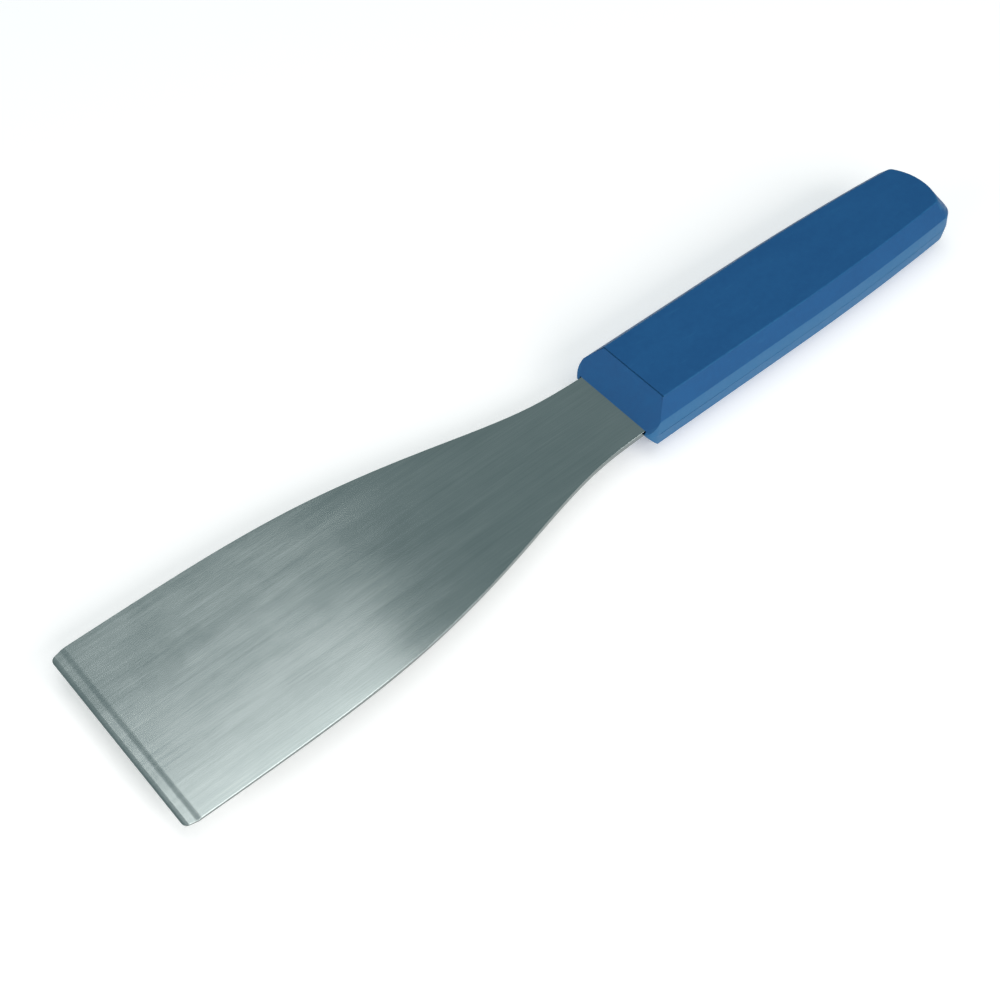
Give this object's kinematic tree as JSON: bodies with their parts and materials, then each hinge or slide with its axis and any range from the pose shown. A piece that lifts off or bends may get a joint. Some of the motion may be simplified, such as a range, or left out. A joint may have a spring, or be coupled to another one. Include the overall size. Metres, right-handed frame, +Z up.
{
  "type": "flexible putty knife",
  "caption": "Putty knife with a wide, thin, springy steel blade that narrows to a neck, and a blue eight-sided plastic handle moulded in halves that clamp its tang.",
  "frame": {"origin": "under the middle of the knife's length and width, level with the underside of the handle", "axes": "+X from the working edge towards the butt of the handle, +Y to the left when looking along +X, +Z up, square to the blade"},
  "size_m": [0.3, 0.062, 0.019],
  "materials": {
    "blade_steel": "satin, ground lengthwise",
    "handle_plastic": "satin moulded"
  },
  "bodies": {
    "handle": {"upper_handle_shell": "handle_plastic", "lower_handle_shell": "handle_plastic", "blade_shank": "blade_steel"},
    "blade": {"flexible_blade": "blade_steel"}
  },
  "joints": [
    {"name": "blade_flex", "type": "hinge", "parent": "handle", "child": "blade", "pos_m": [-0.052, 0, 0.0095], "axis": [0, 1, 0], "range_deg": [-20, 20], "stiffness_Nm_per_rad": 20}
  ]
}
